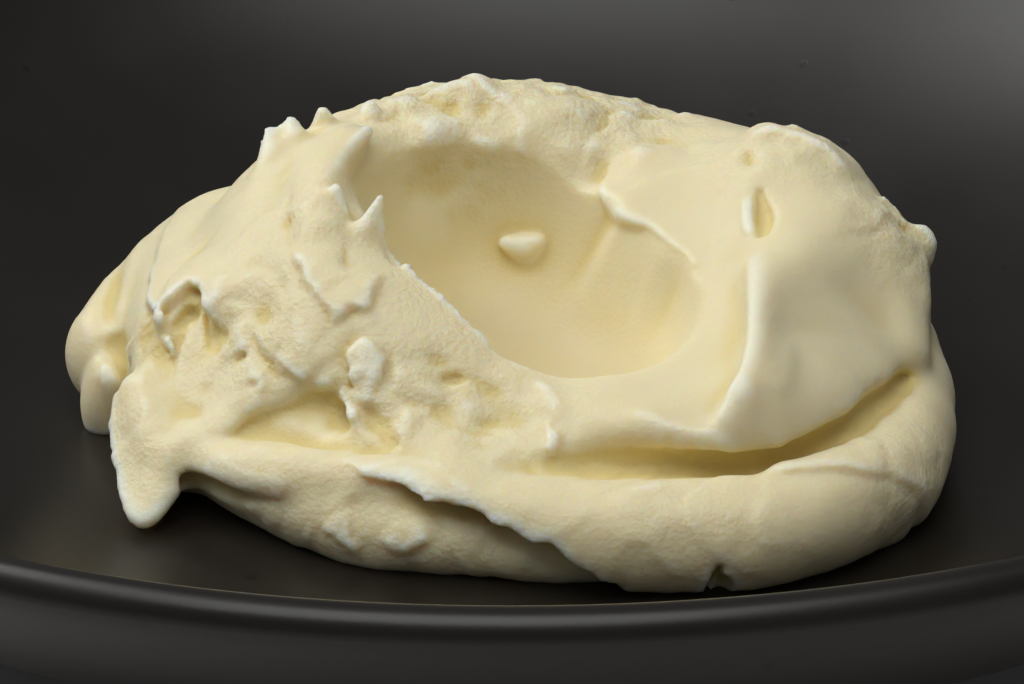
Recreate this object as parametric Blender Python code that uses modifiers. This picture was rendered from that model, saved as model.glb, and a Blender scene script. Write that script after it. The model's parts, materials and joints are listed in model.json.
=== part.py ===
"""A side of mashed potato in its bowl.

Metres, +Z up. The origin is the centre of the bowl's base, and -Y is the front.
The mash is worked in millimetres above the bowl's inner floor, because that is where it lies.
"""
import math

import bmesh
import bpy
from mathutils import Euler, Matrix, Vector

MM = 0.001

# The bowl, in mm: radii from its axis, heights from its inner floor
FLOOR_THICKNESS = 8.0        # from the table to the inner floor, foot included
FLOOR_RADIUS = 60.0          # the flat part of the inner floor
RIM_RADIUS = 129.0
RIM_HEIGHT = 40.0
RIM_WIDTH = 5.0
FOOT_OUTER = 66.0
FOOT_INNER = 57.0
FOOT_RECESS = 2.5            # how far the base is set up inside the foot
FOOT_ROUND = 1.5
BOWL_STEPS = 72
WALL_STEPS = 9
RIM_STEPS = 6

# The mash, in mm
GAP = 0.3                    # between the mash and the bowl
VOXEL = 1.5                  # the grain at which the rolls melt together
SMOOTHING = 5
MASH_TRIANGLES = 6400
SPREAD_CENTRE = (4.0, -3.5)  # the flat lower layer
SPREAD_REACH = (48.0, 41.5)
RING_CENTRE = (7.5, -2.0)    # the thick ring that the spoon left round the well
RING_REACH = (32.0, 29.5)
WELL_CENTRE = (3.2, -7.4, 30.0)
WELL_RADII = (27.8, 18.7, 23.2)
WELL_TURN = -51.5            # degrees about Z
SCOOP_CENTRE = (15.7, -32.0, 48.8)
SCOOP_RADII = (32.0, 60.0, 30.0)
SCOOP_TURN = (7.8, -17.8, 0.0)
FACET_CENTRE = (24.0, -53.4, 55.1)  # the flat that the same press left in front
FACET_RADIUS = 40.0
FLANK_POINT = (42.0, -20.0, 21.5)   # where the right flank is pressed flat
FLANK_FACING = (0.55, -0.45, 0.70)
FLANK_RADIUS = 90.0


# ---------------------------------------------------------------- shared helpers
def material(name, colour, roughness):
    """A plain Principled material."""
    made = bpy.data.materials.new(name)
    made.use_nodes = True
    shader = made.node_tree.nodes["Principled BSDF"]
    shader.inputs["Base Color"].default_value = (*colour, 1.0)
    shader.inputs["Roughness"].default_value = roughness
    shader.inputs["Metallic"].default_value = 0.0
    return made


def add_object(name, mesh, collection):
    """Link a new object for this mesh."""
    made = bpy.data.objects.new(name, mesh)
    collection.objects.link(made)
    return made


def lift(point):
    """A point in mm above the inner floor, in metres above the table."""
    return Vector((point[0], point[1], point[2] + FLOOR_THICKNESS)) * MM


# ---------------------------------------------------------------- the bowl
def bezier(a, b, c, d, steps):
    """Points along a cubic curve, both ends included."""
    points = []
    for step in range(steps + 1):
        t = step / steps
        s = 1.0 - t
        weights = (s * s * s, 3 * s * s * t, 3 * s * t * t, t * t * t)
        points.append(tuple(sum(w * p[i] for w, p in zip(weights, (a, b, c, d))) for i in (0, 1)))
    return points


def arc(centre, radius, start, end, steps):
    """Points along an arc from one angle to another, in degrees, both ends included."""
    angles = (math.radians(start + (end - start) * step / steps) for step in range(steps + 1))
    return [(centre[0] + radius * math.cos(a), centre[1] + radius * math.sin(a)) for a in angles]


def bowl_profile():
    """The bowl's section, from the rim down the outside, under the base and up the inside."""
    shoulder = RIM_HEIGHT - RIM_WIDTH / 2
    wall_foot = 2.0 - FLOOR_THICKNESS
    inner_rim = RIM_RADIUS - RIM_WIDTH
    rim = arc((RIM_RADIUS - RIM_WIDTH / 2, shoulder), RIM_WIDTH / 2, 90, 0, RIM_STEPS // 2)
    outside = bezier((RIM_RADIUS, shoulder), (RIM_RADIUS - 7, shoulder * 0.53),
                     (RIM_RADIUS - 37, 4.0), (FOOT_OUTER, wall_foot), WALL_STEPS)
    heel = arc((FOOT_OUTER - FOOT_ROUND, FOOT_ROUND - FLOOR_THICKNESS), FOOT_ROUND, 0, -90, 2)
    recess = [(FOOT_INNER + FOOT_RECESS / 2, -FLOOR_THICKNESS),
              (FOOT_INNER, FOOT_RECESS - FLOOR_THICKNESS),
              (0.0, FOOT_RECESS - FLOOR_THICKNESS)]
    inside = bezier((FLOOR_RADIUS, 0.0), (FLOOR_RADIUS + 16, 0.0),
                    (inner_rim - 14, shoulder * 0.43), (inner_rim, shoulder), WALL_STEPS)
    lip = arc((RIM_RADIUS - RIM_WIDTH / 2, shoulder), RIM_WIDTH / 2, 180, 90, RIM_STEPS // 2)
    return rim + outside[1:] + heel[1:] + recess + [(0.0, 0.0)] + inside + lip[1:-1]


def make_bowl(collection):
    """The bowl: its section turned about Z."""
    mesh = bpy.data.meshes.new("bowl")
    bm = bmesh.new()
    points = [bm.verts.new(lift((radius, 0.0, height))) for radius, height in bowl_profile()]
    for first, second in zip(points, points[1:] + points[:1]):
        if first.co.x + second.co.x > 0.0:      # no edge on the axis itself
            bm.edges.new((first, second))
    bm.to_mesh(mesh)
    bm.free()
    bowl = add_object("bowl", mesh, collection)
    turn = bowl.modifiers.new("turn", "SCREW")
    turn.axis = "Z"
    turn.steps = BOWL_STEPS
    turn.render_steps = BOWL_STEPS
    turn.use_merge_vertices = True
    turn.merge_threshold = 0.00001
    turn.use_smooth_shade = True
    mesh.materials.append(material("black stoneware", (0.016, 0.015, 0.014), 0.42))
    return bowl


# ---------------------------------------------------------------- the mash
def around(angle, right, back, left, front):
    """A size that passes smoothly through its values on the four sides."""
    return ((right + back + left + front) / 4
            + (right - left) / 2 * math.cos(angle)
            + (back - front) / 2 * math.sin(angle)
            + (right + left - back - front) / 4 * math.cos(2 * angle))


def oval(centre, reach, heights, thicknesses, steps=48):
    """A closed roll round an oval; heights and thicknesses are for right, back, left, front."""
    path = []
    for step in range(steps + 1):
        angle = math.tau * step / steps
        path.append((centre[0] + reach[0] * math.cos(angle),
                     centre[1] + reach[1] * math.sin(angle),
                     around(angle, *heights), around(angle, *thicknesses)))
    return path


def ball(bm, centre, radii, turn=(0, 0, 0), divisions=2):
    """A ball of mash, or an egg of it, at a place in mm."""
    place = (Matrix.Translation(lift(centre))
             @ Euler([math.radians(t) for t in turn]).to_matrix().to_4x4()
             @ Matrix.Diagonal((*[radius * MM for radius in radii], 1.0)))
    bmesh.ops.create_icosphere(bm, subdivisions=divisions, radius=1.0, matrix=place)


def roll(bm, path, spacing=0.3):
    """A rolled length of mash: balls set close along a path of (x, y, z, radius)."""
    for start, end in zip(path, path[1:]):
        run = math.dist(start[:3], end[:3])
        count = max(1, math.ceil(run / (spacing * min(start[3], end[3]))))
        for step in range(count + 1):
            x, y, z, radius = (a + (b - a) * step / count for a, b in zip(start, end))
            ball(bm, (x, y, z), (radius, radius, radius))


def along(points, share):
    """The point that lies this share of the way along a line of points."""
    place = share * (len(points) - 1)
    index = min(int(place), len(points) - 2)
    part = place - index
    return [a + (b - a) * part for a, b in zip(points[index], points[index + 1])]


def flap(bm, root, edge, root_radius, edge_radius, strands=9):
    """A dragged flap of mash: rolls that taper from a root line to an edge line."""
    for strand in range(strands):
        share = strand / (strands - 1)
        roll(bm, [(*along(root, share), root_radius), (*along(edge, share), edge_radius)], spacing=0.6)


def shape_mash(bm):
    """The rolls, lumps and flaps, before the spoon's hollows are taken out."""
    # the flat lower layer, with a rounded roll at its edge
    ball(bm, (4, 0, 5), (50, 42, 9), divisions=4)
    roll(bm, oval(SPREAD_CENTRE, SPREAD_REACH, (5.5, 7, 5, 5), (7, 9, 6.5, 5.8)))
    # the thick ring, and the high fold on its right
    roll(bm, oval(RING_CENTRE, RING_REACH, (15, 18.5, 16, 10.5), (17, 18, 16, 8.5)))
    ball(bm, (36.5, 10.5, 18), (16.5, 15.5, 19), divisions=4)
    roll(bm, [(39, 2, 14.6, 16.4), (37.5, -13, 13, 16.4), (30.5, -24.5, 11.8, 14.7),
              (19, -30, 11, 10.2), (6, -31, 9.2, 7.2)])
    roll(bm, [(9, -34, 11.6, 4.2), (17, -36, 12.6, 5.4), (26, -35.5, 13.6, 6.8),
              (34, -28.5, 12.6, 7.4), (42, -20, 12, 6)])
    # the left rim, raised towards the well and pulled up into two peaks
    roll(bm, [(-24, -8, 29, 3), (-25, 5, 32.5, 3.5), (-22.5, 12, 33, 3.5)])
    roll(bm, [(-25, -6, 29, 3), (-22.6, -5, 33.8, 1.6)])
    roll(bm, [(-19, -12, 25, 3.5), (-17, -7, 32.2, 1.6)])
    # the peak at the back left
    roll(bm, [(-31, 9, 30, 4), (-29.6, 14, 35, 1.8)])
    # the slumped folds on the left
    roll(bm, [(-38, 20, 10, 14), (-42, 8, 9, 12.5), (-38, -5, 10, 13), (-29, -16, 9, 11.5)])
    roll(bm, [(-43, 20, 8.5, 12), (-49.2, 11.5, 7.2, 10.4), (-52.4, 2.8, 7.5, 8.8)])
    ball(bm, (-54, -3.8, 3.4), (4.0, 4.6, 6.2))
    # the skirt that hangs over the lower layer's front, and the tip at its right
    flap(bm, [(-36, -24, 10), (-20, -35, 10), (0, -39, 9.5), (26, -41, 9)],
         [(-36, -34, 7), (-21, -42.5, 8.5), (2, -48.5, 7), (24, -48.5, 4)], 3.2, 2.2, strands=16)
    ball(bm, (44.6, -36.2, 4.5), (5.6, 5.0, 6.0))
    # the tongue dragged out at the front left
    flap(bm, [(-44, -12, 10), (-38, -19, 9), (-32, -24, 9)],
         [(-50, -24, 5.6), (-46, -34, 2), (-39, -29, 5.6)], 4.6, 1.8, strands=12)


def cutter(name, mesh_maker, collection):
    """A guide object for a Boolean; it is left out of the model."""
    mesh = bpy.data.meshes.new(name)
    bm = bmesh.new()
    mesh_maker(bm)
    bm.to_mesh(mesh)
    bm.free()
    made = add_object(name, mesh, collection)
    made.hide_render = True
    made.display_type = "WIRE"
    return made


def below_mash(bm):
    """A block whose top is the gap above the bowl's inner floor."""
    side, depth = 200.0, 40.0
    place = (Matrix.Translation(lift((0.0, 0.0, GAP - depth / 2)))
             @ Matrix.Diagonal((side * MM, side * MM, depth * MM, 1.0)))
    bmesh.ops.create_cube(bm, size=1.0, matrix=place)


def well(bm):
    """The hollow that the back of the spoon pressed."""
    ball(bm, WELL_CENTRE, WELL_RADII, (0, 0, WELL_TURN), divisions=4)


def scoop(bm):
    """The shallower press on the right of the well's front lip."""
    ball(bm, SCOOP_CENTRE, SCOOP_RADII, SCOOP_TURN, divisions=4)


def facet(bm):
    """The flat in front of that press, whose lower edge overhangs the crease."""
    ball(bm, FACET_CENTRE, (FACET_RADIUS,) * 3, divisions=5)


def flank(bm):
    """A great ball whose side presses the right flank flat."""
    centre = [point + facing * FLANK_RADIUS for point, facing in zip(FLANK_POINT, FLANK_FACING)]
    ball(bm, centre, (FLANK_RADIUS,) * 3, divisions=5)


def make_mash(collection, guides):
    """The mashed potato: rolls melted together, then cut by the spoon and the bowl's floor."""
    mesh = bpy.data.meshes.new("mashed_potato")
    bm = bmesh.new()
    shape_mash(bm)
    bm.to_mesh(mesh)
    bm.free()
    mash = add_object("mashed_potato", mesh, collection)
    melt = mash.modifiers.new("melt", "REMESH")
    melt.mode = "VOXEL"
    melt.voxel_size = VOXEL * MM
    soften = mash.modifiers.new("soften", "SMOOTH")
    soften.factor = 0.5
    soften.iterations = SMOOTHING
    for name, maker in (("flank_cutter", flank), ("well_cutter", well),
                        ("scoop_cutter", scoop), ("facet_cutter", facet),
                        ("floor_cutter", below_mash)):
        cut = mash.modifiers.new(name, "BOOLEAN")
        cut.operation = "DIFFERENCE"
        cut.object = cutter(name, maker, guides)
    thin = mash.modifiers.new("thin", "DECIMATE")
    thin.ratio = 1.0
    count = triangle_count(mash)
    thin.ratio = MASH_TRIANGLES / count
    mesh.materials.append(material("mashed potato", (0.80, 0.68, 0.44), 0.5))
    return mash


def triangle_count(item):
    """How many triangles an object has once its modifiers are applied."""
    shown = item.evaluated_get(bpy.context.evaluated_depsgraph_get())
    mesh = shown.to_mesh()
    mesh.calc_loop_triangles()
    count = len(mesh.loop_triangles)
    shown.to_mesh_clear()
    return count


def main():
    for item in list(bpy.data.objects):
        bpy.data.objects.remove(item, do_unlink=True)
    model = bpy.data.collections.new("mashed_potato_side")
    guides = bpy.data.collections.new("cutters")
    for collection in (model, guides):
        bpy.context.scene.collection.children.link(collection)
    make_bowl(model)
    make_mash(model, guides)


main()
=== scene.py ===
"""Mashed potato in its black stoneware bowl: the finished look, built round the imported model.

The mash is worked as clay: a block of distances to its surface, in mm, to which rolls, lumps
and flaps are joined and from which the spoon's hollows are taken. Its places are in mm from
the middle of the bowl's inner floor, +X right, +Y to the back, +Z up.
"""
import json
import math

import bmesh
import bpy
import numpy as np
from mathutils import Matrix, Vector

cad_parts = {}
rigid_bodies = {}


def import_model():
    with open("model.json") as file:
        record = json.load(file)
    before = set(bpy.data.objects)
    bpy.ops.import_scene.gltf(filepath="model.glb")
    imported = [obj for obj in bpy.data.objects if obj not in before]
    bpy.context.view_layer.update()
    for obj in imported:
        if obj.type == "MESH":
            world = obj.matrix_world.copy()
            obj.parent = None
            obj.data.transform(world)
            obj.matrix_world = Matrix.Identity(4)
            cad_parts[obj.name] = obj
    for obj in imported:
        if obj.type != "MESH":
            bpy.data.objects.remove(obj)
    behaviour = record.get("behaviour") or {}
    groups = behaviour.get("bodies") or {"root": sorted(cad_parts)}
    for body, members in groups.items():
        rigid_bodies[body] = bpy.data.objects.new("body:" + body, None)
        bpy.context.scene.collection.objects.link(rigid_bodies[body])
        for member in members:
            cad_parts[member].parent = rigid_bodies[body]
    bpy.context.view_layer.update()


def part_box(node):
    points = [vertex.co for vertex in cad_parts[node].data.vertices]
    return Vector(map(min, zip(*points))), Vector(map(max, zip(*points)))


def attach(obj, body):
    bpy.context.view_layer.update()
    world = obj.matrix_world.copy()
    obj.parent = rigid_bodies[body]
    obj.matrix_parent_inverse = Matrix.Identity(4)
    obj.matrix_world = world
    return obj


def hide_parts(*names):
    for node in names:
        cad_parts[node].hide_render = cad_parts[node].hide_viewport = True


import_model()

MM = 0.001
BOWL_LOW, BOWL_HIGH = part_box("bowl")
MASH_LOW, MASH_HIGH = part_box("mashed_potato")
LAID_GAP = 0.3 * MM                     # the solids keep this gap where the mash lies in the bowl
FLOOR_TOP = MASH_LOW.z - LAID_GAP       # the bowl's inner floor above the table
RIM_RADIUS = (BOWL_HIGH.x - BOWL_LOW.x) / 2
RIM_HEIGHT = BOWL_HIGH.z

CELL = 0.5      # the clay's fineness, in mm
CLAY_LOW = (-66, -60, -2)               # the block that the mash is worked from, in mm
CLAY_HIGH = (66, 54, 44)
FAR = 1e3                               # further than any place in the block, in mm
SWELL_REACH = 2.2                       # a swell has faded out at this many of its widths
MASH_TRIANGLES = 190000
QUARTER_ROUND = 0.5523                  # handle of a quarter circle of radius 1


# ---------------------------------------------------------------- camera, floor and light
def look_at(item, target):
    """Turn a light so that it shines at a point."""
    item.rotation_euler = (Vector(target) - item.location).to_track_quat("-Z", "Y").to_euler()


def make_camera():
    """A close view from the front, a little above the bowl's rim."""
    elevation = math.radians(24.0)
    distance = 0.3857
    aim_height = FLOOR_TOP + 10.2 * MM
    lens = bpy.data.cameras.new("camera")
    lens.lens = 100.0
    lens.sensor_width = 36.0
    camera = bpy.data.objects.new("camera", lens)
    bpy.context.scene.collection.objects.link(camera)
    camera.location = (0.0, -distance * math.cos(elevation),
                       aim_height + distance * math.sin(elevation))
    camera.rotation_euler = (math.pi / 2 - elevation, 0.0, 0.0)
    bpy.context.scene.camera = camera


def area_light(name, place, size, power, colour=(1.0, 1.0, 1.0)):
    lamp = bpy.data.lights.new(name, "AREA")
    lamp.size = size
    lamp.energy = power
    lamp.color = colour
    item = bpy.data.objects.new(name, lamp)
    bpy.context.scene.collection.objects.link(item)
    item.location = place
    look_at(item, (0.0, 0.0, FLOOR_TOP + 15 * MM))


def light_studio():
    """A soft window high on the left, a soft box overhead, and a dim room."""
    area_light("window", (-0.55, 0.20, 0.62), 0.5, 3.5)
    area_light("overhead", (-0.04, -0.22, 0.82), 0.6, 3.4)
    world = bpy.data.worlds.new("room")
    bpy.context.scene.world = world
    world.use_nodes = True
    world.node_tree.nodes["Background"].inputs["Color"].default_value = (0.95, 0.96, 1.0, 1.0)
    world.node_tree.nodes["Background"].inputs["Strength"].default_value = 0.14
    bpy.context.scene.view_settings.view_transform = "Standard"


def make_floor():
    mesh = bpy.data.meshes.new("floor")
    bm = bmesh.new()
    bmesh.ops.create_grid(bm, x_segments=1, y_segments=1, size=1.5)
    bm.to_mesh(mesh)
    bm.free()
    floor = bpy.data.objects.new("floor", mesh)
    bpy.context.scene.collection.objects.link(floor)
    plain = bpy.data.materials.new("pale floor")
    plain.use_nodes = True
    shader = plain.node_tree.nodes["Principled BSDF"]
    shader.inputs["Base Color"].default_value = (0.64, 0.63, 0.61, 1.0)
    shader.inputs["Roughness"].default_value = 0.8
    mesh.materials.append(plain)


# ---------------------------------------------------------------- the clay
def catmull(points, shares):
    """Points on a smooth line through the given ones, at these shares of its run."""
    points = np.array(points, float)
    if len(points) == 2:
        return points[0] + (points[1] - points[0]) * shares[:, None]
    padded = np.vstack([2 * points[0] - points[1], points, 2 * points[-1] - points[-2]])
    place = shares * (len(points) - 1)
    index = np.clip(np.floor(place).astype(int), 0, len(points) - 2)
    t = (place - index)[:, None]
    a, b, c, d = (padded[index + k] for k in range(4))
    return 0.5 * (2 * b + (c - a) * t + (2 * a - 5 * b + 4 * c - d) * t**2
                  + (3 * b - a - 3 * c + d) * t**3)


def smooth_line(points, step):
    """A smooth line through the points, cut into steps of about this length."""
    points = np.array(points, float)
    length = np.linalg.norm(np.diff(points[:, :3], axis=0), axis=1).sum()
    return catmull(points, np.linspace(0, 1, max(2, int(length / step) + 1)))


def soft_step(values):
    """A rise from 0 to 1 that is level at both ends."""
    share = np.clip(values, 0, 1)
    return share * share * (3 - 2 * share)


def rounding(gap, reach):
    """How far two forms with this gap are rounded into each other over this reach."""
    near = np.maximum(reach - np.abs(gap), 0) / reach
    return near**3 * reach / 6


def turned(degrees):
    """A turn about X, then Y, then Z."""
    a, b, c = (math.radians(t) for t in degrees)
    rx = np.array([[1, 0, 0], [0, math.cos(a), -math.sin(a)], [0, math.sin(a), math.cos(a)]])
    ry = np.array([[math.cos(b), 0, math.sin(b)], [0, 1, 0], [-math.sin(b), 0, math.cos(b)]])
    rz = np.array([[math.cos(c), -math.sin(c), 0], [math.sin(c), math.cos(c), 0], [0, 0, 1]])
    return (rz @ ry @ rx).astype(np.float32)


class Clay:
    """A block of mash as a grid of distances to its surface, negative inside."""

    def __init__(self, low, high, cell):
        self.low = np.array(low, np.float32)
        self.cell = cell
        self.shape = tuple(int(math.ceil((h - l) / cell)) + 1 for l, h in zip(low, high))
        self.axes = [self.low[i] + np.arange(self.shape[i], dtype=np.float32) * cell
                     for i in range(3)]
        self.field = np.full(self.shape, 6.0, np.float32)
        self.drift = None

    def window(self, low, high, pad):
        """The part of the grid that holds this box and a border round it."""
        slices = []
        for i in range(3):
            first = int(math.floor((low[i] - pad - self.low[i]) / self.cell))
            last = int(math.ceil((high[i] + pad - self.low[i]) / self.cell)) + 1
            slices.append(slice(max(first, 0), min(max(last, 0), self.shape[i])))
        return tuple(slices)

    def places(self, window):
        """Where the grid's points lie, drifted a little so that no form is quite regular."""
        x, y, z = np.meshgrid(*(self.axes[i][window[i]] for i in range(3)),
                              indexing="ij", sparse=True)
        if self.drift is None:
            return x, y, z
        return tuple(v + d[window] for v, d in zip((x, y, z), self.drift))

    def noise(self, size, seed):
        """A smooth random field, about -1 to 1, whose features have this size (or sizes)."""
        rng = np.random.default_rng(seed)
        sizes = np.broadcast_to(size, 3)
        counts = [int((axis[-1] - axis[0]) / size) + 5 for axis, size in zip(self.axes, sizes)]
        field = rng.uniform(-1, 1, counts).astype(np.float32)
        for i, axis in enumerate(self.axes):
            place = (axis - axis[0]) / sizes[i] + 1.0
            index = np.floor(place).astype(int)
            f = (place - index).astype(np.float32)
            weights = np.zeros((len(axis), counts[i]), np.float32)
            rows = np.arange(len(axis))
            weights[rows, index - 1] = (1 - f)**3 / 6
            weights[rows, index] = (3 * f**3 - 6 * f**2 + 4) / 6
            weights[rows, index + 1] = (-3 * f**3 + 3 * f**2 + 3 * f + 1) / 6
            weights[rows, index + 2] = f**3 / 6
            field = np.moveaxis(np.tensordot(weights, np.moveaxis(field, i, 0), axes=1), 0, i)
        return np.ascontiguousarray(field) * 2.2

    def join(self, window, new, blend):
        """Add a form, melted into the clay over this distance."""
        old = self.field[window]
        self.field[window] = np.minimum(old, new) - rounding(old - new, blend)

    def take(self, window, new, blend):
        """Take a form away, with its lip rounded over this distance."""
        old = self.field[window]
        self.field[window] = np.maximum(old, -new) + rounding(old + new, blend)

    def egg(self, window, centre, radii, turn):
        """Distances to an egg-shaped form."""
        x, y, z = self.places(window)
        local = np.stack(np.broadcast_arrays(x - centre[0], y - centre[1], z - centre[2]), -1)
        local = local @ turned(turn)
        radii = np.array(radii, np.float32)
        inner = np.sqrt(((local / radii)**2).sum(-1)) + 1e-6
        slope = np.sqrt(((local / radii**2)**2).sum(-1)) + 1e-6
        return inner * (inner - 1) / slope

    def torn_off(self, window, form, torn):
        """A form cut off raggedly beyond the planes (point, outward normal), where all agree."""
        beyond = [self.plane(window, point, normal) for point, normal in torn]
        return np.maximum(form, np.minimum.reduce(beyond) + 0.8 * self.tear[window])

    def lump(self, centre, radii, turn=(0, 0, 0), blend=3.0, torn=()):
        reach = max(radii)
        window = self.window([c - reach for c in centre], [c + reach for c in centre], blend + 2)
        form = self.egg(window, centre, radii, turn)
        if torn:
            form = self.torn_off(window, form, torn)
        self.join(window, form, blend)

    def hollow(self, centre, radii, turn=(0, 0, 0), blend=1.5, limits=(), soft=2.5):
        """An egg-shaped hollow, kept behind the limits: planes as (point, outward normal)."""
        reach = max(radii)
        window = self.window([c - reach for c in centre], [c + reach for c in centre], blend + 1)
        form = self.egg(window, centre, radii, turn)
        for point, normal in limits:
            limit = self.plane(window, point, normal)
            form = np.maximum(form, limit) + rounding(form - limit, soft)
        self.take(window, form, blend)

    def plane(self, window, point, normal):
        x, y, z = self.places(window)
        n = np.array(normal, float) / np.linalg.norm(normal)
        return (x - point[0]) * n[0] + (y - point[1]) * n[1] + (z - point[2]) * n[2]

    def beside(self, window, a, b):
        """Each place's offset from the run a to b, and its share of that run."""
        x, y, z = self.places(window)
        run = b - a
        px, py, pz = x - a[0], y - a[1], z - a[2]
        t = np.clip((px * run[0] + py * run[1] + pz * run[2]) / (run @ run + 1e-9), 0, 1)
        return (px - t * run[0], py - t * run[1], pz - t * run[2]), t

    def tube(self, starts, ends, radii, pad):
        """Distances to tapered rods from starts to ends, and each place's share of its rod."""
        points = np.vstack([starts, ends])
        reach = np.max(radii)
        whole = self.window(points.min(0) - reach, points.max(0) + reach, pad)
        out = np.full(self.field[whole].shape, FAR, np.float32)
        share = np.zeros(out.shape, np.float32)
        count = len(starts)
        for k, (a, b, (ra, rb)) in enumerate(zip(starts, ends, radii)):
            window = self.window(np.minimum(a, b) - max(ra, rb), np.maximum(a, b) + max(ra, rb), pad)
            if any(s.stop <= s.start for s in window):
                continue
            (px, py, pz), t = self.beside(window, a, b)
            gap = np.sqrt(px**2 + py**2 + pz**2)
            gap -= ra + t * (rb - ra)
            local = tuple(slice(s.start - w.start, s.stop - w.start)
                          for s, w in zip(window, whole))
            share[local] = np.where(gap < out[local], t if count == 1 else (k + t) / count,
                                    share[local])
            out[local] = np.minimum(out[local], gap)
        return whole, out, share

    def course_of(self, path, step, pad):
        """The tube along a smooth line through (x, y, z, radius)."""
        line = smooth_line(path, step)
        radii = np.stack([line[:-1, 3], line[1:, 3]], 1)
        return self.tube(line[:-1, :3], line[1:, :3], radii, pad)

    def roll(self, path, blend=3.0, step=2.0, end_blend=None, torn=()):
        """A rolled length along (x, y, z, radius)."""
        last = blend if end_blend is None else end_blend
        window, form, share = self.course_of(path, step, max(blend, last) + 2)
        if torn:
            form = self.torn_off(window, form, torn)
        self.join(window, form, blend + (last - blend) * share)

    def groove(self, path, blend=1.5, step=1.5):
        """A round-bottomed groove along (x, y, z, radius)."""
        window, form, _ = self.course_of(path, step, blend + 1)
        self.take(window, form, blend)

    def flap(self, root, edge, thick, blend=2.5, rag=0.0, seed=0, bulge=(0, 0, 0), crisp=0.5,
             gap=0.6):
        """A flap from a root line, where it melts in, to a free edge with a ragged outline."""
        root, edge = np.array(root, float), np.array(edge, float)
        length = max(np.linalg.norm(np.diff(line, axis=0), axis=1).sum() for line in (root, edge))
        count = max(6, int(length / gap))
        shares = np.linspace(0, 1, count)
        inner, outer = catmull(root, shares), catmull(edge, shares)
        middle = (inner + outer) / 2 + np.array(bulge)
        rng = np.random.default_rng(seed)
        torn = sum(weight * np.interp(shares, np.linspace(0, 1, max(4, count // run)),
                                      rng.uniform(-1, 1, max(4, count // run)))
                   for weight, run in ((0.5, 9), (0.4, 4), (0.3, 1)))
        away = (outer - middle) / np.linalg.norm(outer - middle, axis=1, keepdims=True)
        outer = outer + away * (rag * torn)[:, None]
        r0, r2 = thick
        r1 = (r0 + r2) / 2
        half = [(r0, r1)] * count, [(r1, r2)] * count
        window, near, _ = self.tube(inner, middle, half[0], blend + 2)
        self.join(window, near, blend)
        window, far, _ = self.tube(middle, outer, half[1], blend + 2)
        reach = self.nearness(window, middle)
        self.join(window, far, crisp + (blend - crisp) * np.exp(-(reach / (2 * r1))**2))

    def nearness(self, window, points):
        """How far each place is from the nearest of the points."""
        x, y, z = self.places(window)
        out = np.full(self.field[window].shape, FAR, np.float32)
        for p in points[::2]:
            out = np.minimum(out, np.sqrt((x - p[0])**2 + (y - p[1])**2 + (z - p[2])**2))
        return out

    def along(self, path, reach, step=1.0):
        """For the places near a path: their distance to it, their offset and their share of it."""
        line = smooth_line(path, step) if len(path) > 1 else np.array([path[0], path[0]], float)
        whole = self.window(line[:, :3].min(0), line[:, :3].max(0), reach)
        shape = self.field[whole].shape
        best = np.full(shape, FAR, np.float32)
        share = np.zeros(shape, np.float32)
        offset = np.zeros(shape + (3,), np.float32)
        course = np.zeros(shape + (3,), np.float32)
        for k, (a, b) in enumerate(zip(line[:-1, :3], line[1:, :3])):
            window = self.window(np.minimum(a, b), np.maximum(a, b), reach)
            run = b - a
            (px, py, pz), t = self.beside(window, a, b)
            gap = np.sqrt(px**2 + py**2 + pz**2)
            local = tuple(slice(s.start - w.start, s.stop - w.start)
                          for s, w in zip(window, whole))
            nearer = gap < best[local]
            best[local] = np.where(nearer, gap, best[local])
            share[local] = np.where(nearer, (k + t) / (len(line) - 1), share[local])
            for i, part in enumerate((px, py, pz)):
                offset[local + (i,)] = np.where(nearer, part, offset[local + (i,)])
                course[local + (i,)] = np.where(nearer, run[i] / (np.linalg.norm(run) + 1e-9),
                                                course[local + (i,)])
        return whole, best, share, offset, course

    def swell(self, path, width, height):
        """Raise a soft ridge along a path, or sink a soft crease where the height is negative."""
        window, gap, share, _, _ = self.along(path, width * SWELL_REACH)
        fade = soft_step(4 * np.minimum(share, 1 - share)) if len(path) > 1 else 1.0
        self.field[window] -= height * np.exp(-(gap / width)**2) * fade

    def fold(self, path, width, height, facing, rag=0.5, crisp=0.5, ends=(5, 5)):
        """Raise the clay on the left of a path, seen from outside, with a torn step at the path.

        The ends tell how quickly it rises from each end of the path; 0 is at once.
        """
        window, gap, share, offset, course = self.along(path, width * SWELL_REACH)
        left = np.cross(np.array(facing, float), course)
        side = (offset * left).sum(-1) / (np.linalg.norm(left, axis=-1) + 1e-6)
        side = side + rag * self.tear[window]
        step = soft_step(side / crisp * 0.5 + 0.5)
        fade = (soft_step(share * ends[0]) if ends[0] else 1) * (
            soft_step((1 - share) * ends[1]) if ends[1] else 1)
        self.field[window] -= height * np.exp(-(gap / width)**2) * step * fade

    # probes: where a straight line first meets the clay
    def probe(self, start, end, lift):
        start, end = np.array(start, float), np.array(end, float)
        steps = int(np.linalg.norm(end - start) / (self.cell * 0.5))
        points = start + (end - start) * np.linspace(0, 1, steps)[:, None]
        index = np.rint((points - self.low) / self.cell).astype(int)
        index = np.clip(index, 0, np.array(self.shape) - 1)
        inside = self.field[index[:, 0], index[:, 1], index[:, 2]] < 0
        place = points[np.argmax(inside)] if inside.any() else end
        back = (start - end) / np.linalg.norm(end - start)
        return tuple(float(v) for v in place + back * lift)

    def top(self, x, y, lift=0.0):
        """The surface below a point, lifted a little."""
        return self.probe((x, y, self.axes[2][-1]), (x, y, 0.0), lift)

    def front(self, x, z, lift=0.0):
        """The surface met from the front at this height."""
        return self.probe((x, self.axes[1][0], z), (x, 40.0, z), lift)

    def left(self, y, z, lift=0.0):
        """The surface met from the left at this height."""
        return self.probe((self.axes[0][0], y, z), (40.0, y, z), lift)

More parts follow.
